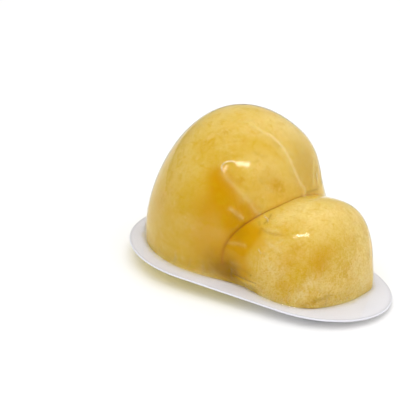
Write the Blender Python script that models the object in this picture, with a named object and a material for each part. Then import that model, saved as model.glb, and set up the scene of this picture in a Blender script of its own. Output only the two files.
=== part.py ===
"""A smoked scamorza in a clear vacuum pack, lying on the pack's pear-shaped card.

Blender 4.5, metres, +Z up. The origin is on the table, under the middle of the card. +X points
to the small head of the cheese. Two solids: the thin dished card, and the cheese with the film
that is drawn tight over it.
"""

import math

import bmesh
import bpy
import numpy as np

COLLECTION = "smoked_scamorza"

# Card: two end arcs joined by straight, tapering sides, 88 by 117 mm.
CARD_LENGTH = 0.1172
BODY_ARC = (0.0419, 0.0440)  # half length and half width of the wide end
HEAD_ARC = (0.0346, 0.0313)  # the same for the narrow end
CARD_THICKNESS = 0.0008
CARD_HEIGHT = 0.0045  # underside of the flat rim above the table, at the middle
DISH_DEPTH = 0.0062  # how far the weight of the cheese bulges the card down
DISH_START, DISH_END = 0.76, 0.36  # where the bulge begins and is full, as shares of the outline
FLAT_BLEND = 0.0010  # how softly the bulge flattens where it meets the table
CARD_LEAN = (-0.034, -0.041)  # slope of the rim along X and Y

# Cheese, measured from the middle of the card's upper face, before the lean.
AXIS_SHIFT = 0.0036  # the lobes' own origin along X
BODY_CENTRE, BODY_RADII = (-0.0197, 0.0, 0.0085), (0.0375, 0.0378, 0.0509)
HEAD_CENTRE, HEAD_RADII = (0.0230, 0.0, 0.0040), (0.0197, 0.0269, 0.0312)
NECK_CENTRE, NECK_RADII = (0.0018, 0.0, 0.0106), (0.0246, 0.0306, 0.0222)
NECK_POWER = 4.0  # the neck is a barrel, nearly straight along X
NECK_BLEND = 0.0053  # how softly the neck runs into the head
CREASE_DEPTH, CREASE_WIDTH = 0.0018, 0.0016  # fold where the body presses on the neck
CREASE_BLEND = 0.0002  # rounding of that fold
CREASE_FOOT, CREASE_FOOT_BLEND = 0.0150, 0.0065  # below this height the film smooths it out
STAR_CENTRE = (0.0106, 0.0, 0.0160)  # inside both lobes; every surface point is seen from here
REACH = 0.100  # longer than any line from there to the surface

# Swellings and hollows by hand pressure: centre, spread and height.
SWELLS = (
    ((-0.0176, 0.0114, 0.0563), 0.0105, -0.0005),
    ((-0.0035, 0.0211, 0.0449), 0.0080, 0.0007),
    ((0.0039, 0.0238, 0.0317), 0.0070, -0.0013),
    ((0.0211, 0.0070, 0.0334), 0.0070, -0.0009),
    ((0.0282, 0.0150, 0.0273), 0.0070, 0.0007),
    ((0.0382, 0.0176, -0.0010), 0.0050, 0.0017),
    ((0.0380, -0.0190, 0.0000), 0.0055, 0.0010),
    ((-0.0480, 0.0180, 0.0180), 0.0140, 0.0010),
    ((-0.0400, -0.0200, 0.0330), 0.0150, -0.0010),
)
GAP = 0.0006  # left between the cheese and the card, whose facets differ

AROUND = 96  # points round each solid
CHEESE_UNDER = 6  # rings under the cheese
CHEESE_FRONT, CHEESE_BODY = 18, 17  # rings from the lower edge to the fold, and on to the top
CREASE_CROWDING = 1.35  # rings lie closer together near the fold
LEAST_CREASE_SHARE = 0.16  # behind the fold's ends, where its rings go on round the body
CARD_RINGS = 9  # rings on each face of the card


def clear_scene():
    for obj in list(bpy.data.objects):
        bpy.data.objects.remove(obj, do_unlink=True)
    for mesh in list(bpy.data.meshes):
        bpy.data.meshes.remove(mesh)


def make_material(name, colour, roughness):
    material = bpy.data.materials.new(name)
    material.use_nodes = True
    shader = material.node_tree.nodes["Principled BSDF"]
    shader.inputs["Base Color"].default_value = (*colour, 1.0)
    shader.inputs["Roughness"].default_value = roughness
    shader.inputs["Metallic"].default_value = 0.0
    return material


def card_outline(count=720):
    """Polar angles and radii of the hull of the two end arcs, about the card's middle."""
    turn = np.linspace(-math.pi, math.pi, count, endpoint=False)
    best = np.full(count, -np.inf)
    points = np.zeros((count, 2))
    ends = ((-CARD_LENGTH / 2 + BODY_ARC[0], BODY_ARC), (CARD_LENGTH / 2 - HEAD_ARC[0], HEAD_ARC))
    for centre, (half_length, half_width) in ends:
        along = half_length * np.cos(turn)
        across = half_width * np.sin(turn)
        span = np.hypot(along, across)
        support = centre * np.cos(turn) + span
        here = np.stack(
            [centre + half_length * along / span, half_width * across / span], axis=1
        )
        further = support > best
        best[further] = support[further]
        points[further] = here[further]
    loop = np.vstack([points, points[:1]])
    travel = np.concatenate([[0.0], np.cumsum(np.hypot(*np.diff(loop, axis=0).T))])
    steps = np.linspace(0.0, travel[-1], 2 * count, endpoint=False)
    x = np.interp(steps, travel, loop[:, 0])
    y = np.interp(steps, travel, loop[:, 1])
    angle = np.arctan2(y, x)
    order = np.argsort(angle)
    return angle[order], np.hypot(x, y)[order]


OUTLINE_ANGLE, OUTLINE_RADIUS = card_outline()


def outline_radius(angle):
    return np.interp(angle, OUTLINE_ANGLE, OUTLINE_RADIUS, period=2 * math.pi)


def ease(value):
    value = np.clip(value, 0.0, 1.0)
    return value * value * (3.0 - 2.0 * value)


def card_under(x, y):
    """Height of the card's lower face: a leaning rim, a bulge, and a flat spot on the table."""
    share = np.hypot(x, y) / outline_radius(np.arctan2(y, x))
    rim = CARD_HEIGHT + CARD_LEAN[0] * x + CARD_LEAN[1] * y
    height = rim - DISH_DEPTH * ease((DISH_START - share) / (DISH_START - DISH_END))
    soft = (height + FLAT_BLEND) ** 2 / (4 * FLAT_BLEND)
    return np.where(height > FLAT_BLEND, height, np.where(height < -FLAT_BLEND, 0.0, soft))


def lean_frame():
    """Rows are the lobes' own axes: Z square to the leaning rim, X along the card."""
    up = np.array([-CARD_LEAN[0], -CARD_LEAN[1], 1.0])
    up /= np.linalg.norm(up)
    side = np.cross(up, [1.0, 0.0, 0.0])
    side /= np.linalg.norm(side)
    return np.array([np.cross(side, up), side, up])


FRAME = lean_frame()
LOBE_ORIGIN = np.array(
    [AXIS_SHIFT, 0.0, CARD_HEIGHT + CARD_THICKNESS + CARD_LEAN[0] * AXIS_SHIFT]
)


def rounded(points, centre, radii, power=2.0):
    """About the distance from an ellipsoid, or from a barrel along X where power is higher."""
    offset = points - np.array(centre)
    scaled = np.abs(offset / np.array(radii))
    section = scaled[:, 1] ** 2 + scaled[:, 2] ** 2
    size = (scaled[:, 0] ** power + section ** (power / 2)) ** (1 / power)
    return (size - 1.0) * np.linalg.norm(offset, axis=1) / np.maximum(size, 1e-6)


def blend(first, second, reach):
    """The lower of two distances, rounded where they are within reach of each other."""
    share = np.clip(0.5 + 0.5 * (second - first) / reach, 0.0, 1.0)
    return second * (1 - share) + first * share - reach * share * (1 - share)


def lobe_distances(local):
    """Distances from the big body, and from the head with its neck."""
    body = rounded(local, BODY_CENTRE, BODY_RADII)
    head = rounded(local, HEAD_CENTRE, HEAD_RADII)
    neck = rounded(local, NECK_CENTRE, NECK_RADII, NECK_POWER)
    return body, blend(head, neck, NECK_BLEND)


def cheese_distance(points):
    """Below zero inside the cheese."""
    local = (points - LOBE_ORIGIN) @ FRAME.T
    body, front = lobe_distances(local)
    sharp = ease(local[:, 2] / CREASE_FOOT)
    distance = blend(body, front, CREASE_FOOT_BLEND * (1 - sharp) + CREASE_BLEND * sharp)
    distance += CREASE_DEPTH * sharp * np.exp(-np.abs(body - front) / CREASE_WIDTH)
    for centre, spread, height in SWELLS:
        near = np.sum((local - np.array(centre)) ** 2, axis=1)
        distance -= height * np.exp(-near / (2 * spread**2))
    return distance


def find_edge(inside_at, count):
    """Bisects count lines at once for the length at which each leaves the cheese."""
    low = np.zeros(count)
    high = np.full(count, REACH)
    for _ in range(36):
        middle = (low + high) / 2
        inside = inside_at(middle)
        low = np.where(inside, middle, low)
        high = np.where(inside, high, middle)
    return (low + high) / 2


def lower_edge(angle):
    """Radii about the star centre at which the cheese meets the card."""

    def inside_at(radius):
        x = STAR_CENTRE[0] + radius * np.cos(angle)
        y = STAR_CENTRE[1] + radius * np.sin(angle)
        z = card_under(x, y) + CARD_THICKNESS + GAP
        return cheese_distance(np.stack([x, y, z], axis=1)) < 0

    return find_edge(inside_at, len(angle))


def upper_surface(angle, edge, share):
    """Points from the lower edge, at share 0, up to the top, at share 1."""
    centre = np.array(STAR_CENTRE)
    edge_x = centre[0] + edge * np.cos(angle)
    edge_y = centre[1] + edge * np.sin(angle)
    edge_z = card_under(edge_x, edge_y) + CARD_THICKNESS + GAP
    rise = np.arctan2(edge_z - centre[2], edge) * (1 - share) + math.pi / 2 * share
    way = np.stack(
        [np.cos(rise) * np.cos(angle), np.cos(rise) * np.sin(angle), np.sin(rise)], axis=1
    )
    length = find_edge(lambda far: cheese_distance(centre + way * far[:, None]) < 0, len(angle))
    return centre + way * length[:, None]


def crease_share(angle, edge):
    """How far up from the lower edge the body's fold crosses each line of the upper surface."""
    low = np.zeros(len(angle))
    high = np.ones(len(angle))
    for _ in range(16):
        middle = (low + high) / 2
        places = upper_surface(angle, edge, middle)
        body, front = lobe_distances((places - LOBE_ORIGIN) @ FRAME.T)
        below = body > front
        low = np.where(below, middle, low)
        high = np.where(below, high, middle)
    return np.maximum((low + high) / 2, LEAST_CREASE_SHARE)


def lower_surface(angle, edge, share):
    """Points on the card's upper face, GAP clear of it, from the middle out to the edge."""
    x = STAR_CENTRE[0] + share * edge * np.cos(angle)
    y = STAR_CENTRE[1] + share * edge * np.sin(angle)
    return np.stack([x, y, card_under(x, y) + CARD_THICKNESS + GAP], axis=1)


def ringed_ball(rings):
    """A UV sphere, with each vertex's angle about Z and its ring counted from the bottom."""
    ball = bmesh.new()
    bmesh.ops.create_uvsphere(ball, u_segments=AROUND, v_segments=rings, radius=1.0)
    places = np.array([vertex.co for vertex in ball.verts])
    angle = np.arctan2(places[:, 1], places[:, 0])
    tilt = np.arcsin(np.clip(places[:, 2], -1.0, 1.0))
    ring = np.rint((tilt / math.pi + 0.5) * rings).astype(int)
    return ball, angle, ring


def move_vertices(ball, places):
    for vertex, place in zip(ball.verts, places):
        vertex.co = place


def link_solid(name, ball, material, collection):
    bmesh.ops.recalc_face_normals(ball, faces=ball.faces)
    mesh = bpy.data.meshes.new(name)
    ball.to_mesh(mesh)
    ball.free()
    mesh.materials.append(material)
    mesh.shade_smooth()
    mesh.set_sharp_from_angle(angle=math.radians(50))
    obj = bpy.data.objects.new(name, mesh)
    collection.objects.link(obj)
    return obj


def add_card(collection):
    """Both faces of the card, and its rim between the two middle rings."""
    rings = 2 * CARD_RINGS + 1
    ball, angle, ring = ringed_ball(rings)
    under = ring <= CARD_RINGS
    share = np.where(under, ring, rings - ring) / CARD_RINGS
    radius = share * outline_radius(angle)
    x = radius * np.cos(angle)
    y = radius * np.sin(angle)
    z = card_under(x, y) + np.where(under, 0.0, CARD_THICKNESS)
    move_vertices(ball, np.stack([x, y, z], axis=1))
    resting = [v for v in ball.verts if v.co.z < 1e-7]
    on_table = [f for f in ball.faces if all(v.co.z < 1e-7 for v in f.verts)]
    if len(resting) < 3 or not on_table:
        raise RuntimeError("the card has no flat spot")
    bmesh.ops.dissolve_faces(ball, faces=on_table, use_verts=True)
    material = make_material("card_white", (0.86, 0.86, 0.87), 0.45)
    return link_solid("card", ball, material, collection)


def add_wrapped_scamorza(collection):
    """The cheese in its film: dished below, two lobes with a crease above."""
    rings = CHEESE_UNDER + CHEESE_FRONT + CHEESE_BODY
    ball, angle, ring = ringed_ball(rings)
    edge = lower_edge(angle)
    fold = crease_share(angle, edge)
    below = np.clip((ring - CHEESE_UNDER) / CHEESE_FRONT, 0, 1)
    above = np.clip((ring - CHEESE_UNDER - CHEESE_FRONT) / CHEESE_BODY, 0, 1)
    share = fold * (1 - (1 - below) ** CREASE_CROWDING)
    share = share + (1 - fold) * above**CREASE_CROWDING
    over = upper_surface(angle, edge, share)
    under = lower_surface(angle, edge, np.clip(ring / CHEESE_UNDER, 0, 1))
    move_vertices(ball, np.where((ring >= CHEESE_UNDER)[:, None], over, under))
    material = make_material("smoked_rind", (0.72, 0.47, 0.12), 0.30)
    return link_solid("wrapped_scamorza", ball, material, collection)


def main():
    clear_scene()
    collection = bpy.data.collections.new(COLLECTION)
    bpy.context.scene.collection.children.link(collection)
    add_card(collection)
    add_wrapped_scamorza(collection)


main()
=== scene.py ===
import math

import bpy
import numpy as np
from mathutils import Matrix, Quaternion, Vector


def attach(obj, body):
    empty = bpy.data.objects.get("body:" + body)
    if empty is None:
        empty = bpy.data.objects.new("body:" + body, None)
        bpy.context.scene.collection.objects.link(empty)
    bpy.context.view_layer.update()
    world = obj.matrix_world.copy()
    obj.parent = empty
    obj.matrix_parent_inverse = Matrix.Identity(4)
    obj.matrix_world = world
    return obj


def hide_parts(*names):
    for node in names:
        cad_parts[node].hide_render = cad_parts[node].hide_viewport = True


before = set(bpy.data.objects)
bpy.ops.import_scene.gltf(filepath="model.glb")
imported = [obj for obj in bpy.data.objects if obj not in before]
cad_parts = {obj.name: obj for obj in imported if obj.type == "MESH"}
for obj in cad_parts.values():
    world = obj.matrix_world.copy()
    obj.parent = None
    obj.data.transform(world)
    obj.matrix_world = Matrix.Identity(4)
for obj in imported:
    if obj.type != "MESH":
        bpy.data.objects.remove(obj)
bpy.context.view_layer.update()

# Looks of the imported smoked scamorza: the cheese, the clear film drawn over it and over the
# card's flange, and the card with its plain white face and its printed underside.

MM = 0.001

# ---- sizes shared with the part
CARD_LENGTH = 0.1172
BODY_ARC = (0.0419, 0.0440)
HEAD_ARC = (0.0346, 0.0313)
CARD_THICKNESS = 0.0008
CARD_HEIGHT = 0.0045
DISH_DEPTH = 0.0062
DISH_START, DISH_END = 0.76, 0.36
FLAT_BLEND = 0.0010
CARD_LEAN = (-0.034, -0.041)

AXIS_SHIFT = 0.0036
BODY_CENTRE, BODY_RADII = (-0.0197, 0.0, 0.0085), (0.0375, 0.0378, 0.0509)
HEAD_CENTRE, HEAD_RADII = (0.0230, 0.0, 0.0040), (0.0197, 0.0269, 0.0312)
NECK_CENTRE, NECK_RADII = (0.0018, 0.0, 0.0106), (0.0246, 0.0306, 0.0222)
NECK_POWER = 4.0
NECK_BLEND = 0.0053
CREASE_FOOT, CREASE_FOOT_BLEND = 0.0150, 0.0065
STAR_CENTRE = (0.0106, 0.0, 0.0160)
REACH = 0.100
SWELLS = (
    ((-0.0176, 0.0114, 0.0563), 0.0105, -0.0005),
    ((-0.0035, 0.0211, 0.0449), 0.0080, 0.0007),
    ((0.0039, 0.0238, 0.0317), 0.0070, -0.0013),
    ((0.0211, 0.0070, 0.0334), 0.0070, -0.0009),
    ((0.0282, 0.0150, 0.0273), 0.0070, 0.0007),
    ((0.0382, 0.0176, -0.0010), 0.0050, 0.0017),
    ((0.0380, -0.0190, 0.0000), 0.0055, 0.0010),
    ((-0.0480, 0.0180, 0.0180), 0.0140, 0.0010),
    ((-0.0400, -0.0200, 0.0330), 0.0150, -0.0010),
)

# ---- sizes of the looks
CHEESE_INSET = 0.00035  # the rind lies this far under the film
CHEESE_FOLD = (0.0003, 0.0004, 0.0004)  # depth, width and rounding of the rind's own fold
FILM_FOLD = (0.0001, 0.0006, 0.0007)  # the film bridges it
FOLD_SHADE_LINE = 0.00025  # half width of the fold's dark line of painted crease shade
FILM_FOOT = 0.0022  # fillet of the film where the cheese meets the card
FILM_LIFT = 0.00008  # film above the card's face
FOOT_REACH = 0.0008  # the flange's rings end this far out from the foot
RIM_INSET = 0.0002  # and start this far in from the card's edge
RIND_WAVES = (0.00016, 0.011)  # height and size of the rind's broad unevenness
RIND_SINK = 0.00006  # keeps it under the film
RIND_GRAIN = (0.00004, 0.0022)  # height and size of its fine unevenness
FILM_WAVES = (0.00005, 0.009)
HEM_WIDTH, HEM_HEIGHT = 0.0014, 0.0010  # of the film's milky hem along the foot
PLEAT_STEP, PLEAT_ACROSS = 0.0003, 9
PLEAT_LIFT = 0.00005  # keeps a pleat's crown clear of the film under it
CRIMP_HEIGHT, CRIMPS, CRIMP_START = 0.00004, 150, 0.93  # of the card's rim

NEAREST_EXIT = 0.010  # no surface comes closer to the star centre
FIRST_EXIT_STEPS = 76  # looks along each line for the first place where it leaves a surface
EDGE_ROUNDS, EXIT_ROUNDS, FOLD_ROUNDS = 34, 26, 16  # halvings of a bracket
LEAST_FOLD_SHARE = 0.16  # leaves room for the rings below the fold
SEARCH_BELOW, SEARCH_SPAN = 0.001, 0.006  # where the flange is looked for, about the card's face
SPACING_SWING = 0.22  # points lie closer together towards the head's near side
DENSE_SIDE = math.radians(-50)
CHEESE_AROUND, CHEESE_UNDER, CHEESE_FRONT, CHEESE_BODY = 440, 10, 84, 96
FILM_AROUND, FILM_FLANGE, FILM_FRONT, FILM_BODY = 496, 24, 92, 84
CHEESE_CROWDING, FILM_CROWDING = 1.35, 1.25  # of the rings towards the fold
CARD_AROUND, CARD_RINGS, CARD_EDGE = 360, 30, 6

# Where the near strap curls back at its top, for a crease and a pleat of the film.
HOOK = (
    (-1.2, -24.6, 46.5), (-2.5, -24.4, 47.7), (-3.1, -23.8, 48.8), (-2.8, -22.8, 49.9),
    (-2, -21.8, 50.6), (-0.8, -20.8, 50.8),
)
# Creases of the film: points in millimetres, height, width, milkiness, width of the milky
# line, and the shares of the length over which the crease fades in and out.
RIDGES = {
    "left_strap": (((-2.5, -24.4, 47.7), (-1.2, -24.6, 46.5), (2.3, -24.1, 44), (6, -22.9, 41.2),
        (9.7, -21, 37.8), (11.9, -19.4, 34.4), (12.6, -17.5, 32.1), (13.6, -16.6, 31.6)),
        0.16, 0.65, 0.24, 0.85, (0.06, 0.03)),
    "long_arc": (((-13.1, -13.5, 60.9), (-10, -10.2, 62.2), (-6.1, -7, 62.3), (-2.8, -6.6, 61.1),
        (0.2, -5.8, 59.8), (2.5, -3.8, 58.7), (4.7, -2.9, 57.1), (7.4, -1.8, 54.7),
        (10.7, -1.1, 51), (13.2, -0.9, 47.2), (15.2, -0.1, 43.5), (16.4, 1.6, 39.8),
        (16.6, 2.6, 36.9)), 0.14, 0.9, 0.3, 0.85, (0.4, 0.03)),
    "left_hook": ((*HOOK, (1.9, -19.3, 50.3)), 0.1, 0.55, 0.1, 0.6, (0.2, 0.3)),
    # head_rim's milky line is a painted highlight along the head's right edge.
    "head_rim": (((38.6, 14.6, 28.4), (39.8, 14.2, 26.7), (42.2, 13.4, 21.3), (44.2, 11.6, 15.5)),
        0.14, 0.7, 0.4, 0.6, (0.25, 0.3)),
    "low_left": (((3.9, -27.4, 35.6), (4.8, -27, 35.2), (6.4, -26.1, 34.2), (8, -24.9, 33.1),
        (9.5, -23.6, 31.4), (10.4, -21.6, 29.4)), 0.04, 0.5, 0.3, 0.5, (0.25, 0.15)),
    "mid_faint": (((10.4, -15.2, 44.2), (11.7, -14.5, 42.8), (12.9, -13.4, 41.5),
        (14.3, -11.9, 40)), 0.02, 0.6, 0.1, 0.6, (0.35, 0.35)),
    "head_band": (((18.6, -21.9, 30.4), (20.4, -21.7, 30.2), (22.4, -21.1, 30.3),
        (24.4, -20.2, 30.7), (26.9, -19.2, 31)), 0.05, 0.8, 0.22, 0.8, (0.35, 0.4)),
    "streak_a": (((20.7, -24.6, 27.2), (23.5, -24.3, 26.5), (26.2, -23.8, 25.7),
        (28.7, -23.2, 24.8), (31, -22.4, 24.2)), 0.04, 0.8, 0.22, 0.8, (0.35, 0.35)),
    "streak_short": (((25.6, -23.8, 26), (27, -22.1, 27.6), (28.3, -20.6, 28.9)),
        0.03, 0.5, 0.22, 0.45, (0.35, 0.35)),
    "streak_low": (((23, -26.4, 23.9), (25.7, -26.1, 21.7), (28, -25.5, 19.8)),
        0.03, 0.45, 0.14, 0.4, (0.35, 0.35)),
    "neck_line": (((6, -28, 21.4), (8.1, -28, 22), (11.1, -28.2, 23), (14.1, -28.1, 23.5),
        (17.3, -27.9, 23.4)), 0.04, 0.6, 0.16, 0.5, (0.3, 0.15)),
    "bridge": (((16.2, 1.9, 40), (16.6, 2.4, 38.2), (18.4, 0.6, 37.6), (20.8, -2, 37.9)),
        0.05, 0.6, 0.38, 0.55, (0.3, 0.4)),
    "head_line": (((24.3, -6.5, 38.3), (24.6, -3.5, 38.9), (24.5, 0.6, 38.9), (22.4, 6.9, 37.3)),
        0.03, 0.7, 0.22, 0.7, (0.35, 0.35)),
    "web_mid": (((7.5, 16.6, 49.3), (11.7, 12.6, 45.9), (14.6, 9.6, 42), (16.1, 8.2, 37.8)),
        0.04, 0.7, 0.24, 0.7, (0.35, 0.1)),
    "web_c": (((15.8, 4.4, 39.6), (15.6, 6.6, 38.6), (15.2, 9.4, 37.6), (14.6, 12.6, 36.8)),
        0.02, 0.6, 0.12, 0.7, (0.35, 0.35)),
    "base_a": (((9.7, -29.8, 15.2), (14, -30, 16), (17.9, -29.7, 16.1)),
        0.03, 0.5, 0.09, 0.45, (0.2, 0.35)),
    "base_b": (((10.4, -29.8, 12.7), (14, -29.7, 13), (17.4, -29.4, 12.6)),
        0.03, 0.5, 0.07, 0.45, (0.2, 0.35)),
}
# Narrow pleats that stand on the film: points in millimetres, height, half width, milkiness
# and the shares of the length over which the pleat fades in and out.
# The milky lines of web_glint, hook and glint_c are painted highlights; pucker_a's is partly one.
PLEATS = {
    "web_glint": (((12.3, 14, 43.7), (13.1, 13.3, 42.4), (13.9, 12.7, 41.1), (14.6, 12.2, 39.7)),
        0.1, 0.4, 0.62, (0.35, 0.35)),
    "hook": ((*HOOK, (0.5, -20, 50.7)), 0.05, 0.45, 0.7, (0.25, 0.15)),
    "pucker_a": (((12.9, -16.9, 32.8), (15.5, -18.1, 32.7), (17.8, -18.8, 32.4),
        (18.8, -20.3, 31.5)), 0.03, 0.6, 0.34, (0.3, 0.3)),
    "glint_c": (((20.9, -26.7, 24.2), (22.2, -26.9, 23.1), (23.3, -26.9, 22.3)),
        0, 0.5, 0.34, (0.3, 0.3)),
    "web_a": (((9.2, 18.4, 44.8), (12.5, 14.3, 42.8), (14.2, 12.7, 40.4), (15.3, 12.4, 36.5)),
        0.14, 0.6, 0.3, (0.3, 0.08)),
    "web_b": (((7.9, 21.8, 41.6), (12.1, 17.4, 39.5), (13.9, 15.8, 37)),
        0.1, 0.6, 0.26, (0.3, 0.08)),
}
# Dark lines, painted shade of folds and film creases and marks of the rind: points in millimetres,
# width, strength, fades.
SHADE_AND_MARK_LINES = {
    "web_fold": (((16.6, 2.3, 36.9), (16.5, 6.2, 37.4), (15.9, 9.8, 37.2), (15, 13.4, 36.8)),
        0.36, 0.55, (0.2, 0.2)),
    "low_left_fold": (((5.3, -27.1, 33.8), (7.3, -25.8, 32.5), (9.1, -24.2, 30.8),
        (10.6, -22.3, 29)), 0.35, 0.5, (0.3, 0.15)),
    "under_band": (((17.2, -21.6, 30.7), (17.8, -22.3, 30.1), (20, -22.4, 29.6),
        (22.2, -22.1, 29.5), (24.9, -21.2, 29.6), (27.3, -20.1, 29.9), (29.4, -19.1, 30)),
        0.35, 0.6, (0.1, 0.4)),
    "side_fold": (((16.4, -15.6, 34.2), (17, -16.4, 33.6), (17.5, -18.5, 32.6), (17.6, -19.9, 31.8),
        (17.3, -21.4, 30.9)), 0.35, 0.7, (0.15, 0.15)),
    "wedge_fold": (((14.5, -20.2, 31.5), (15.6, -21.1, 31), (17, -21.9, 30.5)),
        0.3, 0.55, (0.2, 0.2)),
    "neck_side": (((17.7, -22, 30.3), (18.1, -23.1, 29.4), (18.5, -24.8, 27.7)),
        0.45, 0.35, (0.2, 0.4)),
    "body_scratch": (((1.4, -14.7, 54.7), (3.1, -13.2, 54.3), (5, -11.8, 53.5), (6.4, -10, 53.1),
        (7.3, -7.6, 53.3)), 0.35, 0.22, (0.3, 0.3)),
    "body_scratch_low": (((4.7, -15.7, 51), (5.3, -14.1, 51.7), (5.9, -12.6, 52.1)),
        0.35, 0.22, (0.3, 0.3)),
    "body_pull": (((8.6, -15.7, 46.5), (9.6, -15.5, 45.2), (10.7, -15.2, 43.8)),
        0.35, 0.25, (0.3, 0.3)),
    "base_streak": (((41.6, -18.8, 7.1), (43.1, -16.2, 7.9), (43.9, -14.3, 8.2), (44.8, -11.4, 8.9),
        (45.6, -7.8, 9.2)), 0.55, 0.5, (0.2, 0.4)),
    "foot_streak": (((13, -28.6, 8.4), (15.7, -27.6, 7.2), (19.1, -27.4, 6.8), (22.7, -27.3, 6.3),
        (25.4, -27, 6)), 0.6, 0.55, (0.1, 0.3)),
    "neck_streak": (((9.8, -29.8, 14), (13.6, -30, 14.6), (17.5, -29.7, 14.3), (21, -28.9, 13),
        (23.6, -28.1, 11.3)), 0.5, 0.5, (0.1, 0.6)),
    "neck_streak_mid": (((9.9, -29.8, 11.5), (13.3, -29.4, 11.4), (17.1, -28.9, 10.6),
        (20.2, -28.2, 9.1)), 0.5, 0.5, (0.1, 0.6)),
    "neck_streak_low": (((10.3, -29.4, 9), (13.3, -28.6, 8.7), (16.2, -27.7, 7.4)),
        0.5, 0.45, (0.1, 0.4)),
    "far_streak": (((30, 24, 9), (35, 21.5, 8.6), (40, 17, 8.8)), 0.6, 0.45, (0.3, 0.3)),
    "back_scratch": (((-40, 4, 54), (-46, 2, 46), (-50, 3, 38)), 0.4, 0.3, (0.3, 0.3)),
}
# Tints of the rind: centre and spread in millimetres, strength.
SMUDGES = (
    (-14, -21.1, 55.2, 1.8, 0.5), (-15.7, -13.4, 61, 0.9, 0.4), (-11.5, -15.8, 59.4, 0.9, 0.75),
    (-9.9, -15.9, 59, 0.8, 0.7), (-2.5, -13.7, 57.8, 0.9, 0.45), (-4.6, -16.5, 56.9, 0.8, 0.4),
    (-7.2, -19.7, 55.2, 1, 0.4), (-3.9, -21.1, 52.4, 1.6, 0.35), (13.2, -10.1, 43.7, 1.4, 0.55),
    (14, -9.7, 42.4, 1.9, 0.65), (4.6, -21.3, 45.3, 1.1, 0.8), (5.7, -3.9, 56, 1, 0.4),
    (40.7, -20.1, 7.3, 1.2, 0.8), (42.1, -18.2, 6.7, 1.2, 0.85), (42.3, -17.3, 10.4, 1.4, 0.6),
    (41.4, -14.3, 21.4, 2.6, 0.35), (33.5, -22.6, 21.2, 2, 0.4), (29.6, -26.5, 11.5, 0.8, 0.6),
    (33.8, -25, 11.4, 1.8, 0.45), (37.9, -22, 12.9, 1.4, 0.35), (32.3, -25.3, 13.8, 1.6, 0.4),
    (32.4, -19.9, 27.3, 1.2, 0.45), (34.6, -18.5, 27.3, 1.2, 0.45), (43.9, -14.1, 8.7, 1.6, 0.5),
    (44.6, -4, 17, 3, 0.3), (37.3, 6.7, 34.2, 2.2, 0.3), (-30, 22, 50, 3, 0.45),
    (-46, -6, 40, 3.4, 0.4), (-14, 33, 34, 2.6, 0.45), (-38, 26, 24, 4, 0.35),
    (30, 22, 24, 2.8, 0.4), (-50, 10, 22, 3.4, 0.35), (-26, -34, 30, 2.6, 0.4),
    (-44, -24, 22, 3.2, 0.4), (-8, 24, 52, 2, 0.45), (38, 18, 16, 2.6, 0.4),
)
# Cream patches: the rind's paler tone, and painted reflection on the tops and along the right-hand
# edges.
CREAM_AND_REFLECTION_AREAS = (
    (26.5, -11.2, 36.7, 4.6, 0.55), (32.8, -7.1, 37, 5, 0.55), (38.2, 1.4, 34.2, 5, 0.5),
    (22, -16, 33.8, 2.6, 0.4), (25, -9.5, 37.4, 3, 0.3), (4.8, -16.7, 50, 2.4, 0.2),
    (7.5, -13, 50.1, 3.4, 0.25), (9.9, -11, 48.3, 3.4, 0.15), (3.7, 10.5, 56.5, 5, 0.4),
    (-24, -4, 64, 12, 0.35), (-44, 14, 42, 10, 0.3), (28, 18, 30, 5, 0.4), (45, 3, 20, 6, 0.8),
    (45, -8, 14, 4, 0.55), (36, 8, 32, 4, 0.6), (42, 11, 24, 4, 0.5), (43, -14, 9, 3.6, 0.5),
    (-2, 6, 60.5, 4, 0.3),
)
DULL_AREAS = (
    (10.6, -12.2, 46.4, 3.2, 0.4), (14.7, 1.3, 44.7, 3.5, 0.35), (9, 9, 53, 6, 0.3),
    (12.6, 6.2, 47, 3.6, 0.6), (14.4, 6.4, 42.6, 3.6, 0.6), (10.5, 11, 47.5, 3.6, 0.5),
    (-12, 26, 44, 8, 0.35), (-48, 0, 36, 9, 0.3), (30, 16, 18, 6, 0.3),
)
# Painted reflection: pale clouds where the film mirrors the white card near the foot and the
# backdrop on the head's edges.
PALE_REFLECTION_CLOUDS = (
    (38.3, -22.4, 8.3, 1.4, 0.85), (39.5, -20.9, 11.2, 1.6, 0.9), (40.5, -19, 13.9, 1.7, 0.8),
    (41.4, -17, 16, 1.9, 0.6), (43.4, -14.4, 12.4, 1.6, 0.6), (44.2, -12.8, 11.4, 1.5, 0.5),
    (45.8, 3.9, 15.8, 3.6, 0.55), (45.6, 8.6, 7.9, 3.6, 0.7), (46, -3, 9, 3.6, 0.45),
    (35, -0.5, 36.9, 4, 0.35), (27.4, -26.4, 18.3, 3, 0.35), (22.7, -28.1, 19.5, 2.6, 0.22),
    (30.4, -25.3, 17.5, 2.6, 0.4), (26, -27, 9, 3, 0.4), (32, 22, 8, 4, 0.6), (-50, 20, 12, 6, 0.4),
)
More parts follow.
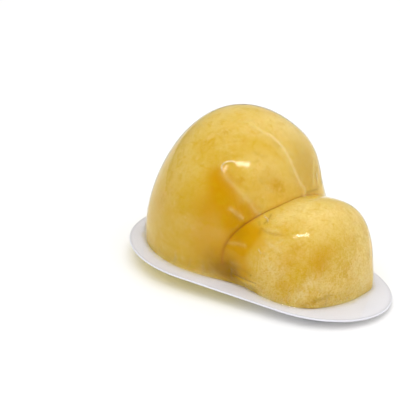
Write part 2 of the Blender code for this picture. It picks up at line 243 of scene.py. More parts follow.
# Deeper amber of the rind, with painted shade on the near left of the body and neck.
AMBER_AND_SHADE_AREAS = (
    (17.7, -23.8, 28.8, 1.6, 0.45), (21.7, -25.5, 25.8, 2.2, 0.4), (22.2, -27.7, 21.3, 2, 0.3),
    (-3.1, -26.1, 45.6, 3, 0.8), (0.2, -26.5, 42.3, 3.2, 0.95), (3.2, -26.5, 38.8, 3.4, 0.9),
    (6.5, -26.6, 32.6, 3, 0.8), (8, -25.7, 29.6, 3, 0.8), (11.4, -20.4, 33.9, 2.2, 0.95),
    (9.6, -22, 36.2, 2.2, 0.5), (11.3, -26.6, 25.6, 3.2, 1), (14.7, -24.8, 28, 2.6, 1),
    (14.9, -27.4, 24.7, 2.6, 1), (11.3, -29.2, 20.6, 3.2, 1), (13.8, -29.6, 19.5, 2.2, 0.6),
    (8, -30, 16, 3.5, 0.9), (15.6, -29.7, 13.2, 2.8, 0.7), (9.5, -29.8, 10.9, 3, 0.6),
    (-2, -30, 33, 5.5, 0.58), (0, -31, 20, 6.5, 0.58), (-26, -33, 26, 11, 0.3),
    (16, -29, 14, 3.4, 0.5), (13.5, -10.5, 41, 4.5, 0.4), (40.7, -12.6, 25.1, 3.4, 0.42),
    (40.9, -15.5, 20.4, 2.6, 0.42), (31, -22, 21.5, 3.4, 0.35), (34, -18.8, 26, 2.2, 0.3),
    (-30, 30, 26, 13, 0.6), (2, 28, 30, 8, 0.6), (-54, 0, 22, 13, 0.5),
)
# Olive tint low down, painted shade where it lies on the near left by the neck's foot.
OLIVE_AND_SHADE_AREAS = (
    (11.2, -26.8, 25.8, 2.6, 0.34), (10.9, -29.9, 14.4, 2, 0.6), (10, -29.7, 11.2, 3, 0.75),
    (13.2, -29.2, 10.5, 2, 0.3), (4, -32, 11, 4.5, 0.7), (2, 32, 8, 6, 0.45),
)
# Stains round the foot, with painted shade where the cheese meets the card.
FOOT_STAINS_AND_SHADE = (
    (12, -28.5, 8, 2.6, 0.6), (17.5, -27.5, 7, 3, 0.2), (41, -20, 6.5, 2, 0.9),
    (44.5, -12, 7.5, 2, 0.4), (33, -26, 6, 1.5, 0.3), (34, 22, 8, 5, 0.6), (-40, 34, 8, 9, 0.5),
    (-56, -10, 8, 9, 0.5),
)
MILKY_PATCHES = (  # of the film
    (4, 4, 56.5, 6, 0.06), (21, -17.6, 32.6, 2.2, 0.1), (25, -24, 26.8, 2.6, 0.06),
    (-20, 20, 56, 8, 0.06), (-50, -10, 30, 8, 0.06),
)
BACK_CREASES = (  # start and end in millimetres, sideways bow
    ((-30, 0, 66), (-56, -6, 30), 6), ((-24, 14, 62), (-40, 30, 34), -5),
    ((-8, 24, 50), (2, 26, 34), 3), ((-36, -12, 60), (-46, -26, 30), 4),
    ((-50, 12, 30), (-54, 14, 12), 2),
)
BACK_CREASE_FORM = (0.12, 0.8, 0.18, 0.9, (0.3, 0.3))  # as in RIDGES
# These are also on the far side.
MIRRORED_RIDGES = ("low_left", "head_band", "streak_a", "neck_line", "base_a")
FOOT_PLEATS = 34
SPOT = ((20.2, -29.1, 13.1), 0.34)  # a tiny dark speck near the head's foot


def ease(value):
    value = np.clip(value, 0.0, 1.0)
    return value * value * (3.0 - 2.0 * value)


def unit(rows):
    return rows / np.linalg.norm(rows, axis=1, keepdims=True)


def travel_along(line):
    """How far each point of the line lies from its start, measured along it."""
    return np.concatenate([[0.0], np.cumsum(np.linalg.norm(np.diff(line, axis=0), axis=1))])


# ---- the part's own shape
def card_outline(count=720):
    """Polar angles and radii of the hull of the two end arcs, about the card's middle."""
    turn = np.linspace(-math.pi, math.pi, count, endpoint=False)
    best = np.full(count, -np.inf)
    points = np.zeros((count, 2))
    ends = ((-CARD_LENGTH / 2 + BODY_ARC[0], BODY_ARC), (CARD_LENGTH / 2 - HEAD_ARC[0], HEAD_ARC))
    for centre, (half_length, half_width) in ends:
        along = half_length * np.cos(turn)
        across = half_width * np.sin(turn)
        span = np.hypot(along, across)
        support = centre * np.cos(turn) + span
        here = np.stack(
            [centre + half_length * along / span, half_width * across / span], axis=1
        )
        further = support > best
        best[further] = support[further]
        points[further] = here[further]
    loop = np.vstack([points, points[:1]])
    travel = travel_along(loop)
    steps = np.linspace(0.0, travel[-1], 2 * count, endpoint=False)
    x = np.interp(steps, travel, loop[:, 0])
    y = np.interp(steps, travel, loop[:, 1])
    angle = np.arctan2(y, x)
    order = np.argsort(angle)
    return angle[order], np.hypot(x, y)[order]


OUTLINE_ANGLE, OUTLINE_RADIUS = card_outline()


def outline_radius(angle):
    return np.interp(angle, OUTLINE_ANGLE, OUTLINE_RADIUS, period=2 * math.pi)


def card_under(x, y):
    share = np.hypot(x, y) / outline_radius(np.arctan2(y, x))
    rim = CARD_HEIGHT + CARD_LEAN[0] * x + CARD_LEAN[1] * y
    height = rim - DISH_DEPTH * ease((DISH_START - share) / (DISH_START - DISH_END))
    soft = (height + FLAT_BLEND) ** 2 / (4 * FLAT_BLEND)
    return np.where(height > FLAT_BLEND, height, np.where(height < -FLAT_BLEND, 0.0, soft))


def card_top(x, y):
    return card_under(x, y) + CARD_THICKNESS


def above_card(points):
    return points[:, 2] - card_top(points[:, 0], points[:, 1])


def lean_frame():
    up = np.array([-CARD_LEAN[0], -CARD_LEAN[1], 1.0])
    up /= np.linalg.norm(up)
    side = np.cross(up, [1.0, 0.0, 0.0])
    side /= np.linalg.norm(side)
    return np.array([np.cross(side, up), side, up])


FRAME = lean_frame()
LOBE_ORIGIN = np.array(
    [AXIS_SHIFT, 0.0, CARD_HEIGHT + CARD_THICKNESS + CARD_LEAN[0] * AXIS_SHIFT]
)


def rounded(points, centre, radii, power=2.0):
    offset = points - np.array(centre)
    scaled = np.abs(offset / np.array(radii))
    section = scaled[:, 1] ** 2 + scaled[:, 2] ** 2
    size = (scaled[:, 0] ** power + section ** (power / 2)) ** (1 / power)
    return (size - 1.0) * np.linalg.norm(offset, axis=1) / np.maximum(size, 1e-6)


def blend(first, second, reach):
    share = np.clip(0.5 + 0.5 * (second - first) / reach, 0.0, 1.0)
    return second * (1 - share) + first * share - reach * share * (1 - share)


def lobe_distances(points):
    """Distances from the big body and from the head with its neck, and the lobes' own places."""
    local = (points - LOBE_ORIGIN) @ FRAME.T
    body = rounded(local, BODY_CENTRE, BODY_RADII)
    head = rounded(local, HEAD_CENTRE, HEAD_RADII)
    neck = rounded(local, NECK_CENTRE, NECK_RADII, NECK_POWER)
    return body, blend(head, neck, NECK_BLEND), local


def lobed_distance(points, fold):
    """Distance from the two lobes; fold is the depth, width and rounding of their crease."""
    depth, width, rounding = fold
    body, front, local = lobe_distances(points)
    sharp = ease(local[:, 2] / CREASE_FOOT)
    distance = blend(body, front, CREASE_FOOT_BLEND * (1 - sharp) + rounding * sharp)
    distance += depth * sharp * np.exp(-np.abs(body - front) / width)
    for centre, spread, height in SWELLS:
        near = np.sum((local - np.array(centre)) ** 2, axis=1)
        distance -= height * np.exp(-near / (2 * spread**2))
    return distance


def cheese_distance(points):
    return lobed_distance(points, CHEESE_FOLD) + CHEESE_INSET


def film_distance(points):
    card = above_card(points) - FILM_LIFT
    return blend(lobed_distance(points, FILM_FOLD), card, FILM_FOOT)


# ---- places on a surface
def halve(low, high, inside_at, rounds):
    """Narrows brackets that are inside at low and outside at high; returns their middles."""
    for _ in range(rounds):
        middle = (low + high) / 2
        inside = inside_at(middle)
        low = np.where(inside, middle, low)
        high = np.where(inside, high, middle)
    return (low + high) / 2


def find_edge(inside_at, count, far=REACH):
    return halve(np.zeros(count), np.full(count, far), inside_at, EDGE_ROUNDS)


def around_star(angle, radius):
    return STAR_CENTRE[0] + radius * np.cos(angle), STAR_CENTRE[1] + radius * np.sin(angle)


def star_ring(angle, radius, height_at):
    """Points at a radius about the star centre, as high as height_at says."""
    x, y = around_star(angle, radius)
    return np.stack([x, y, height_at(x, y)], axis=1)


def star_rise(angle, radius, height_at):
    """Elevations of such points, seen from the star centre."""
    return np.arctan2(height_at(*around_star(angle, radius)) - STAR_CENTRE[2], radius)


def spread_angles(count):
    """Angles round the star centre, closer together on the dense side."""
    turn = np.linspace(-math.pi, math.pi, count, endpoint=False)
    return turn - SPACING_SWING * np.sin(turn - DENSE_SIDE)


def cheese_base(x, y):
    """Height of the cheese's underside."""
    return card_top(x, y) + FILM_LIFT


def film_height(x, y):
    """Height of the film on the card's flange and at the foot of the cheese."""
    base = card_top(x, y)

    def inside_at(rise):
        return film_distance(np.stack([x, y, base + rise - SEARCH_BELOW], axis=1)) < 0

    return base + find_edge(inside_at, len(x), SEARCH_SPAN) - SEARCH_BELOW


def foot_radius(angle):
    """Radii about the star centre at which the cheese meets the card."""

    def inside_at(radius):
        return cheese_distance(star_ring(angle, radius, cheese_base)) < 0

    return find_edge(inside_at, len(angle))


def card_edge_radius(angle):
    """Radii about the star centre of the card's outline."""

    def inside_at(radius):
        x, y = around_star(angle, radius)
        return np.hypot(x, y) < outline_radius(np.arctan2(y, x))

    return find_edge(inside_at, len(angle))


def first_exit(distance, way):
    """The places where lines from the star centre first leave the surface."""
    centre = np.array(STAR_CENTRE)
    low = np.full(len(way), NEAREST_EXIT)
    high = np.full(len(way), REACH)
    open_lines = np.ones(len(way), dtype=bool)
    for far in np.linspace(NEAREST_EXIT, REACH, FIRST_EXIT_STEPS):
        chosen = np.flatnonzero(open_lines)
        if len(chosen) == 0:
            break
        inside = distance(centre + way[chosen] * far) < 0
        low[chosen[inside]] = far
        high[chosen[~inside]] = far
        open_lines[chosen[~inside]] = False
    far = halve(low, high, lambda reach: distance(centre + way * reach[:, None]) < 0, EXIT_ROUNDS)
    return centre + way * far[:, None]


def on_surface(distance, points):
    """The points, each moved along its line from the star centre onto the surface."""
    return first_exit(distance, unit(points - np.array(STAR_CENTRE)))


def star_points(distance, angle, start, share):
    """Points of a surface seen from the star centre, from elevation start up to the top."""
    rise = start * (1 - share) + math.pi / 2 * share
    way = np.stack(
        [np.cos(rise) * np.cos(angle), np.cos(rise) * np.sin(angle), np.sin(rise)], axis=1
    )
    return first_exit(distance, way)


def top_point(distance):
    return star_points(distance, np.zeros(1), np.zeros(1), np.ones(1))[0]


def fold_share(distance, angle, start):
    """Where the body's fold crosses each line of the surface, as a share of the way up."""

    def before_fold(share):
        body, front, _ = lobe_distances(star_points(distance, angle, start, share))
        return body > front

    share = halve(np.zeros(len(angle)), np.ones(len(angle)), before_fold, FOLD_ROUNDS)
    return np.maximum(share, LEAST_FOLD_SHARE)


def upper_grid(distance, angle, start, front_rings, body_rings, crowding):
    """Rings from the lower edge up to the fold, and on to just short of the top."""
    fold = fold_share(distance, angle, start)
    rings = [fold * (1 - (1 - step / front_rings) ** crowding) for step in range(front_rings)]
    rings += [fold + (1 - fold) * (step / body_rings) ** crowding for step in range(body_rings)]
    share = np.array(rings)
    count = len(share)
    points = star_points(distance, np.tile(angle, count), np.tile(start, count), share.ravel())
    return points.reshape(count, len(angle), 3)


def film_normals(points, step=0.0002):
    """Outward directions of the film near the points."""
    slopes = []
    for shift in np.eye(3) * step:
        slopes.append(film_distance(points + shift) - film_distance(points - shift))
    return unit(np.stack(slopes, axis=1))


def settle(points, steps=5):
    """The points, each moved a little way straight onto the film."""
    for _ in range(steps):
        points = points - film_normals(points) * film_distance(points)[:, None]
    return points


# ---- noise and lines
def lattice_noise(points, size, seed):
    """Smooth noise from -1 to 1 whose lumps are about size metres across."""
    table = np.random.default_rng(seed).uniform(-1, 1, (32, 32, 32))
    place = points / size + 400.0
    cell = np.floor(place).astype(int)
    part = ease(place - cell)
    total = np.zeros(len(points))
    for corner in np.ndindex(2, 2, 2):
        weight = np.ones(len(points))
        for axis, end in enumerate(corner):
            weight *= part[:, axis] if end else 1 - part[:, axis]
        i, j, k = ((cell + np.array(corner)) % 32).T
        total += weight * table[i, j, k]
    return total


def layered_noise(points, size, seed):
    """Three layers of noise, each half as large and half as strong as the one before."""
    total = np.zeros(len(points))
    for layer in range(3):
        total += lattice_noise(points, size / 2**layer, seed + layer) / 2**layer
    return total / 1.75


def film_relief(points):
    """Slight waviness of the film, clear of the card."""
    height, size = FILM_WAVES
    return height * layered_noise(points, size, 31) * ease(above_card(points) / 0.003)


def blobs(points, places):
    """Sum of soft round spots, each given as x, y, z and spread in mm, and strength."""
    total = np.zeros(len(points))
    for *centre, spread, strength in places:
        near = np.sum((points - np.array(centre) * MM) ** 2, axis=1)
        total += strength * np.exp(-near / (2 * (spread * MM) ** 2))
    return total


def smooth_line(points, step=0.0005):
    """A Catmull-Rom curve through the points, one point about every step."""
    padded = np.vstack([2 * points[0] - points[1], points, 2 * points[-1] - points[-2]])
    out = []
    for a, b, c, d in zip(padded[:-3], padded[1:-2], padded[2:-1], padded[3:]):
        count = max(2, int(np.linalg.norm(c - b) / step))
        for t in np.linspace(0, 1, count, endpoint=False):
            curve = 2 * b + (c - a) * t + (2 * a - 5 * b + 4 * c - d) * t**2
            curve += (3 * b - a - 3 * c + d) * t**3
            out.append(curve / 2)
    out.append(points[-1])
    return np.array(out)


def line_fade(line, fades):
    """1 along the line, easing from 0 over the first share of it and to 0 over the last."""
    travel = travel_along(line)
    share = travel / travel[-1]
    return ease(share / fades[0]) * ease((1 - share) / fades[1])


def ridge_profile(points, line, widths, fades):
    """For each width, 1 on the line and 0 far from it, faded in and out along its length."""
    profiles = np.zeros((len(widths), len(points)))
    reach = 5 * max(widths)
    inside = np.all((points > line.min(0) - reach) & (points < line.max(0) + reach), axis=1)
    chosen = np.flatnonzero(inside)
    if len(chosen) == 0:
        return profiles
    gap = np.linalg.norm(points[chosen, None, :] - line[None, :, :], axis=2)
    nearest = gap.argmin(axis=1)
    far = gap[np.arange(len(chosen)), nearest]
    fade = line_fade(line, fades)[nearest]
    for row, width in zip(profiles, widths):
        round_top = 0.35 * width
        row[chosen] = fade * np.exp(-(np.sqrt(far**2 + round_top**2) - round_top) / width)
    return profiles


# ---- meshes
def new_object(name, data):
    obj = bpy.data.objects.new(name, data)
    bpy.context.scene.collection.objects.link(obj)
    return obj


def mesh_object(name, points, faces):
    mesh = bpy.data.meshes.new(name)
    mesh.from_pydata(points, [], faces)
    mesh.validate()
    mesh.shade_smooth()
    return new_object(name, mesh)


def pushed_out(grid, heights):
    """A ring grid with each point moved outwards; rings run upwards and anticlockwise."""
    along = np.roll(grid, -1, axis=1) - np.roll(grid, 1, axis=1)
    up = np.empty_like(grid)
    up[1:-1] = grid[2:] - grid[:-2]
    up[0] = grid[1] - grid[0]
    up[-1] = grid[-1] - grid[-2]
    normal = np.cross(along, up)
    normal /= np.maximum(np.linalg.norm(normal, axis=2, keepdims=True), 1e-12)
    return grid + normal * heights.reshape(grid.shape[:2])[..., None]


def ring_object(name, grid, high_pole, low_pole=None):
    """A smooth mesh from rings of points; each pole closes one end."""
    rings, around = grid.shape[:2]
    points = grid.reshape(-1, 3).tolist()
    here = np.arange(rings * around).reshape(rings, around)
    after = np.roll(here, -1, axis=1)
    quads = np.stack([here[:-1], after[:-1], after[1:], here[1:]], axis=2)
    faces = quads.reshape(-1, 4).tolist()
    if low_pole is not None:
        faces += [[int(b), int(a), len(points)] for a, b in zip(here[0], after[0])]
        points.append(tuple(low_pole))
    faces += [[int(a), int(b), len(points)] for a, b in zip(here[-1], after[-1])]
    points.append(tuple(high_pole))
    return mesh_object(name, points, faces)


def vertex_places(obj):
    places = np.empty(len(obj.data.vertices) * 3, dtype=np.float32)
    obj.data.vertices.foreach_get("co", places)
    return places.reshape(-1, 3).astype(float)


def store(obj, name, values):
    layer = obj.data.attributes.new(name, "FLOAT", "POINT")
    layer.data.foreach_set("value", np.asarray(values, dtype=np.float32))


# ---- shader nodes
class Graph:
    """Adds and joins the shader nodes of one material, or of the world."""

    def __init__(self, owner, output="ShaderNodeOutputMaterial"):
        self.owner = owner
        owner.use_nodes = True
        self.tree = owner.node_tree
        self.tree.nodes.clear()
        self.output = self.tree.nodes.new(output)

    def add(self, kind, values=None, **settings):
        """Makes a node and returns its outputs; values go into its inputs."""
        made = self.tree.nodes.new("ShaderNode" + kind)
        for key, value in settings.items():
            setattr(made, key, value)
        for key, value in (values or {}).items():
            self.set(made.inputs[key], value)
        return made.outputs

    def set(self, socket, value):
        if isinstance(value, bpy.types.NodeSocket):
            self.tree.links.new(value, socket)
        elif socket.type == "RGBA":
            socket.default_value = (*value, 1.0)
        else:
            socket.default_value = value

    def place(self):
        return self.add("TexCoord")["Object"]

    def attribute(self, name):
        return self.add("Attribute", attribute_name=name)["Fac"]

    def noise(self, vector, scale, detail=2.0, roughness=0.5, distortion=0.0):
        values = {
            "Vector": vector, "Scale": scale, "Detail": detail,
            "Roughness": roughness, "Distortion": distortion,
        }
        return self.add("TexNoise", values)["Fac"]

    def stretch(self, vector, scale, turn):
        values = {"Vector": vector, "Scale": scale, "Rotation": turn}
        return self.add("Mapping", values)["Vector"]

    def span(self, value, low, high, to_low=0.0, to_high=1.0):
        values = {
            "Value": value, "From Min": low, "From Max": high,
            "To Min": to_low, "To Max": to_high,
        }
        return self.add("MapRange", values, interpolation_type="SMOOTHSTEP")["Result"]

    def math(self, operation, first, second):
        return self.add("Math", {0: first, 1: second}, operation=operation)["Value"]

    def times(self, first, second):
        return self.math("MULTIPLY", first, second)

    def mix(self, share, first, second):
        values = {0: share, 6: first, 7: second}
        return self.add("Mix", values, data_type="RGBA")[2]

    def two_tone(self, place, scale, detail, tones):
        return self.mix(self.span(self.noise(place, scale, detail), 0.3, 0.7), *tones)

    def bump(self, height, strength, distance, **under):
        values = {"Height": height, "Strength": strength, "Distance": distance, **under}
        return self.add("Bump", values)["Normal"]

    def mix_shaders(self, share, first, second):
        return self.add("MixShader", {0: share, 1: first, 2: second})["Shader"]

    def finish(self, shader):
        self.tree.links.new(shader, self.output.inputs["Surface"])
        return self.owner

    def principled(self, values):
        return self.finish(self.add("BsdfPrincipled", values)["BSDF"])


# ---- cheese
GOLD_LIGHT = (0.750, 0.566, 0.158)
GOLD = (0.700, 0.488, 0.066)
GOLD_DEEP_SHADED = (0.640, 0.345, 0.000)
# painted light behind the fold
GOLD_FOLD_GLOW = (0.830, 0.550, 0.055)
MOTTLE = (0.640, 0.405, 0.006)
SMOKE = (0.600, 0.340, 0.010)
OLIVE_STAIN_AND_SHADE = (0.340, 0.170, 0.001)
CREAM = (0.860, 0.700, 0.290)
PALE_REFLECTION = (0.800, 0.650, 0.300)
OCHRE = (0.600, 0.400, 0.070)
SHADE_AND_MARK_BROWN = (0.400, 0.220, 0.010)
# painted shade in the fold between body and neck
FOLD_SHADE_BROWN = (0.450, 0.180, 0.025)
SPOT_BROWN = (0.06, 0.04, 0.02)


def cheese_material():
    g = Graph(bpy.data.materials.new("smoked_rind"))
    place = g.place()
    broad = g.noise(place, 55.0, 3.0, 0.5, 0.6)
    mid = g.noise(place, 170.0, 4.0, 0.6, 0.5)
    grain = g.noise(place, 1500.0, 2.0, 0.6)
    wisps = g.noise(g.stretch(place, (260.0, 90.0, 180.0), (0.9, 0.1, 1.9)), 1.0, 4.0, 0.55, 1.0)
    fibre = g.noise(g.stretch(place, (80.0, 420.0, 300.0), (0.2, 0.5, 0.7)), 1.0, 5.0, 0.62, 1.4)
    blotch = g.noise(place, 300.0, 5.0, 0.68, 0.6)
    net = g.noise(place, 560.0, 4.0, 0.7, 0.5)
    cloud_edge = g.noise(place, 420.0, 4.0, 0.55, 0.4)
    smudge_edge = g.noise(place, 560.0, 5.0, 0.7, 0.7)
    skin = g.noise(place, 520.0, 3.0, 0.55)
    grained = g.attribute("grain")
    amber_edge = g.math("ADD", g.times(mid, 0.6), g.times(grain, 0.4))
    amber_and_shade = g.times(g.attribute("amber_and_shade"), g.span(amber_edge, 0.38, 0.62, 1.0, 0.95))
    keep = g.math("SUBTRACT", 1.0, amber_and_shade)
    layers = (  # each a share and its colour, laid over the ones before
        (g.span(broad, 0.36, 0.66), GOLD_LIGHT),
        # paler tone and painted reflection
        (g.times(g.attribute("cream_and_reflection"), g.span(mid, 0.25, 0.60, 0.45, 1.0)), CREAM),
        (g.times(g.span(wisps, 0.54, 0.80, 0.0, 0.28), keep), CREAM),
        (g.times(g.times(g.span(grain, 0.34, 0.50, 0.3, 0.0), grained), keep), CREAM),
        (g.attribute("dull"), OCHRE),
        # deeper amber and painted shade
        (amber_and_shade, GOLD_DEEP_SHADED),
        # painted light behind the fold
        (g.attribute("painted_fold_glow"), GOLD_FOLD_GLOW),
        (g.span(fibre, 0.52, 0.78, 0.0, 0.46), MOTTLE),
        (g.span(blotch, 0.50, 0.68, 0.0, 0.43), MOTTLE),
        (g.times(g.span(net, 0.50, 0.64), grained), MOTTLE),
        (g.times(g.times(g.span(net, 0.34, 0.48, 0.35, 0.0), grained), keep), CREAM),
        # painted reflection
        (g.times(g.attribute("pale_reflection"), g.span(cloud_edge, 0.36, 0.58, 0.25, 1.0)), PALE_REFLECTION),
        (g.times(g.attribute("smudge"), g.span(smudge_edge, 0.38, 0.62, 0.1, 1.0)), SMOKE),
        (g.times(g.span(grain, 0.48, 0.66), grained), MOTTLE),
        # olive tint and painted shade
        (g.times(g.attribute("olive_and_shade"), g.span(mid, 0.2, 0.7, 0.6, 1.0)), OLIVE_STAIN_AND_SHADE),
        # stains and painted shade round the foot
        (g.times(g.attribute("base"), g.span(cloud_edge, 0.30, 0.60, 0.25, 1.0)), OLIVE_STAIN_AND_SHADE),
        # painted shade of creases, and marks of the rind
        (g.attribute("line"), SHADE_AND_MARK_BROWN),
        # painted shade in the fold
        (g.attribute("fold"), FOLD_SHADE_BROWN),
        (g.attribute("spot"), SPOT_BROWN),
    )
    colour = GOLD
    for share, tint in layers:
        colour = g.mix(share, colour, tint)
    return g.principled({
        "Base Color": colour, "Roughness": g.span(skin, 0.3, 0.7, 0.40, 0.56),
        "Subsurface Weight": 0.45, "Subsurface Radius": (1.0, 0.50, 0.14),
        "Subsurface Scale": 0.0012, "Specular IOR Level": 0.0,
        "Normal": g.bump(skin, 0.35, 0.0004),
    })


def cheese_masks(obj):
    """Per-vertex shares of each tint, from where the point lies on the cheese."""
    points = vertex_places(obj)
    body, front, local = lobe_distances(points)
    # Painted shade: the fold's dark reddish-brown line fades towards its foot and round the far
    # side.
    fold = np.exp(-np.abs(body - front) / FOLD_SHADE_LINE) * ease(local[:, 2] / 0.0120)
    fold *= 0.75 + 0.25 * lattice_noise(points, 0.006, 71)
    fold *= 0.45 + 0.55 * ease((-0.006 - local[:, 1]) / 0.014)
    store(obj, "fold", np.clip(fold, 0, 0.9))
    # Painted light: the body is painted lighter and warmer just behind the fold, to offset the
    # shade of the crease.
    beside = front - body
    painted_fold_glow = np.where(beside > 0, np.exp(-beside / 0.0050), 0.0) * ease(local[:, 2] / 0.0160)
    painted_fold_glow *= ease((local[:, 1] + 0.022) / 0.010)
    store(obj, "painted_fold_glow", 0.70 * painted_fold_glow)
    # Stains and painted shade run round the foot, where the cheese meets the card, with a ragged
    # upper edge.
    ragged = 0.0020 + 0.0013 * lattice_noise(points, 0.006, 12)
    stain_and_shade = 0.06 + blobs(points, FOOT_STAINS_AND_SHADE) + 0.22 * lattice_noise(points, 0.007, 15)
    low_edge = np.exp(-((np.maximum(above_card(points), 0) / ragged) ** 1.3))
    store(obj, "base", np.clip(stain_and_shade, 0, 0.9) * low_edge)
    # Dark lines: painted shade of folds and film creases, and marks of the rind.
    line_share = np.zeros(len(points))
    for marks, width, strength, fades in SHADE_AND_MARK_LINES.values():
        line = smooth_line(on_surface(cheese_distance, np.array(marks) * MM))
        mark = ridge_profile(points, line, (width * MM,), fades)[0]
        line_share = np.maximum(line_share, strength * mark)
    store(obj, "line", line_share)
    for name, places, most in (
        ("smudge", SMUDGES, 0.85), ("pale_reflection", PALE_REFLECTION_CLOUDS, 0.9), ("cream_and_reflection", CREAM_AND_REFLECTION_AREAS, 0.8),
        ("olive_and_shade", OLIVE_AND_SHADE_AREAS, 0.9), ("dull", DULL_AREAS, 0.7),
    ):
        store(obj, name, np.clip(blobs(points, places), 0, most))
    store(obj, "amber_and_shade", 1 - np.exp(-3.0 * blobs(points, AMBER_AND_SHADE_AREAS) ** 2))
    # The grain shows more on the head, most of all low down.
    head = ease((points[:, 0] - 0.010) / 0.016)
    low = ease((0.034 - points[:, 2]) / 0.020)
    store(obj, "grain", 0.13 + head * (0.10 + 0.33 * low))
    near = np.linalg.norm(points - np.array(SPOT[0]) * MM, axis=1)
    store(obj, "spot", np.clip(1.6 - near / (SPOT[1] * MM), 0, 1))


def make_cheese():
    angle = spread_angles(CHEESE_AROUND)
    foot = foot_radius(angle)
    start = star_rise(angle, foot, cheese_base)
    upper = upper_grid(cheese_distance, angle, start, CHEESE_FRONT, CHEESE_BODY, CHEESE_CROWDING)
    shares = [step / CHEESE_UNDER for step in range(1, CHEESE_UNDER)]
    under = [star_ring(angle, share * foot, cheese_base) for share in shares]
    grid = np.concatenate([np.array(under), upper])
    flat = grid.reshape(-1, 3)
    relief = RIND_WAVES[0] * layered_noise(flat, RIND_WAVES[1], 5) - RIND_SINK
    relief += RIND_GRAIN[0] * lattice_noise(flat, RIND_GRAIN[1], 9)
    grid = pushed_out(grid, relief * ease(above_card(flat) / 0.004))
    middle = STAR_CENTRE[:2]
    low = (*middle, cheese_base(*middle))
    obj = ring_object("cheese", grid, top_point(cheese_distance), low)
    cheese_masks(obj)
    obj.data.materials.append(cheese_material())
    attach(obj, "root")
    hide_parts("wrapped_scamorza")


# ---- film
SHEEN = (1.0, 0.97, 0.86)
THIN_MILK = (0.97, 0.80, 0.34)
THICK_MILK = (0.98, 0.88, 0.62)
WHITE = (1.0, 1.0, 1.0)


def film_material():
    g = Graph(bpy.data.materials.new("clear_film"))
    place = g.place()
    ripple = g.noise(g.stretch(place, (90.0, 240.0, 160.0), (0.3, 0.2, 0.8)), 1.0, 2.0, 0.45, 0.4)
    pull = g.noise(place, 700.0, 2.0, 0.5)
    normal = g.bump(ripple, 0.13, 0.0006, Normal=g.bump(pull, 0.06, 0.0002))
    shine = g.span(g.noise(place, 260.0, 3.0, 0.6), 0.3, 0.7, 0.060, 0.115)
    values = {"Color": SHEEN, "Normal": normal, "Roughness": shine}
    gloss = g.add("BsdfGlossy", values)["BSDF"]
    clear = g.add("BsdfTransparent", {"Color": WHITE})["BSDF"]
    tint = g.mix(g.span(g.attribute("haze"), 0.15, 0.45), THIN_MILK, THICK_MILK)
    milk = g.add("BsdfDiffuse", {"Color": tint, "Normal": normal})["BSDF"]
    haze = g.times(g.attribute("haze"), g.span(pull, 0.2, 0.8, 0.75, 1.0))
    edge = g.add("Fresnel", {"IOR": 1.28, "Normal": normal})["Fac"]
    return g.finish(g.mix_shaders(edge, g.mix_shaders(haze, clear, milk), gloss))


def film_ridges():
    """The broad creases of the film: curve, height, width, milkiness, its width, fades."""
    forms = [(np.array(points) * MM, *form) for points, *form in RIDGES.values()]
    for name in MIRRORED_RIDGES:
        points, *form = RIDGES[name]
        forms.append((np.array(points) * (MM, -MM, MM), *form))
    for start, end, bow in BACK_CREASES:
        middle = (np.array(start) + end) / 2 + (0, bow, 3)
        forms.append((np.array([start, middle, end]) * MM, *BACK_CREASE_FORM))
    return [(smooth_line(on_surface(film_distance, points)), *form) for points, *form in forms]


def foot_point(turn, radius, rise=0.0):
    x, y = around_star(turn, radius)
    return (x, y, float(card_top(x, y)) + 0.0004 + rise)


def pleat_lines():
    """The narrow pleats and those round the foot."""
    lines = [(np.array(points), *form) for points, *form in PLEATS.values()]
    rng = np.random.default_rng(23)
    for _ in range(FOOT_PLEATS):
        turn = rng.uniform(-math.pi, math.pi)
        foot = foot_radius(np.array([turn]))[0]
        lean = rng.uniform(-0.10, 0.10)
        length = rng.uniform(0.003, 0.008)
        low = foot_point(turn, foot + rng.uniform(0.0008, 0.0024))
        middle = foot_point(turn + lean * 0.4, foot - 0.0002, length * 0.4)
        high = foot_point(turn + lean, foot - 0.0006, length)
        height = rng.uniform(0.03, 0.09)
        points = np.array([low, middle, high]) / MM
        lines.append((points, height * 0.7, rng.uniform(0.5, 0.9), 0.08, (0.4, 0.4)))
    return lines


def film_hem(points):
    """Milkiness of the film along the foot of the cheese, uneven along its length."""
    body, front, _ = lobe_distances(points)
    beside = np.minimum(body, front) / HEM_WIDTH
    above = np.maximum(above_card(points) - 0.0006, 0) / HEM_HEIGHT
    strength = np.clip(0.26 + 0.24 * lattice_noise(points, 0.0028, 44), 0.04, 0.5)
    return np.exp(-(beside**2)) * np.exp(-above) * strength


def make_film(material):
    angle = spread_angles(FILM_AROUND)
    foot = foot_radius(angle) + FOOT_REACH
    rim = card_edge_radius(angle) - RIM_INSET
    radii = [rim + (foot - rim) * step / FILM_FLANGE for step in range(FILM_FLANGE)]
    flange = [star_ring(angle, radius, film_height) for radius in radii]
    start = star_rise(angle, foot, film_height)
    upper = upper_grid(film_distance, angle, start, FILM_FRONT, FILM_BODY, FILM_CROWDING)
    grid = np.concatenate([np.array(flange), upper])
    flat = grid.reshape(-1, 3)
    raised = np.zeros(len(flat))
    haze = np.zeros(len(flat))
    for line, height, width, milk, milk_width, fades in film_ridges():
        ridge, streak = ridge_profile(flat, line, (width * MM, milk_width * MM), fades)
        raised = np.maximum(raised, ridge * height * MM)
        haze = np.maximum(haze, streak * milk)
    haze += blobs(flat, MILKY_PATCHES) + film_hem(flat)
    grid = pushed_out(grid, raised + film_relief(flat))
    obj = ring_object("film", grid, top_point(film_distance))
    store(obj, "haze", np.clip(np.append(haze, 0.0), 0, 0.7))
    obj.data.materials.append(material)
    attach(obj, "root")
    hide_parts("wrapped_scamorza")


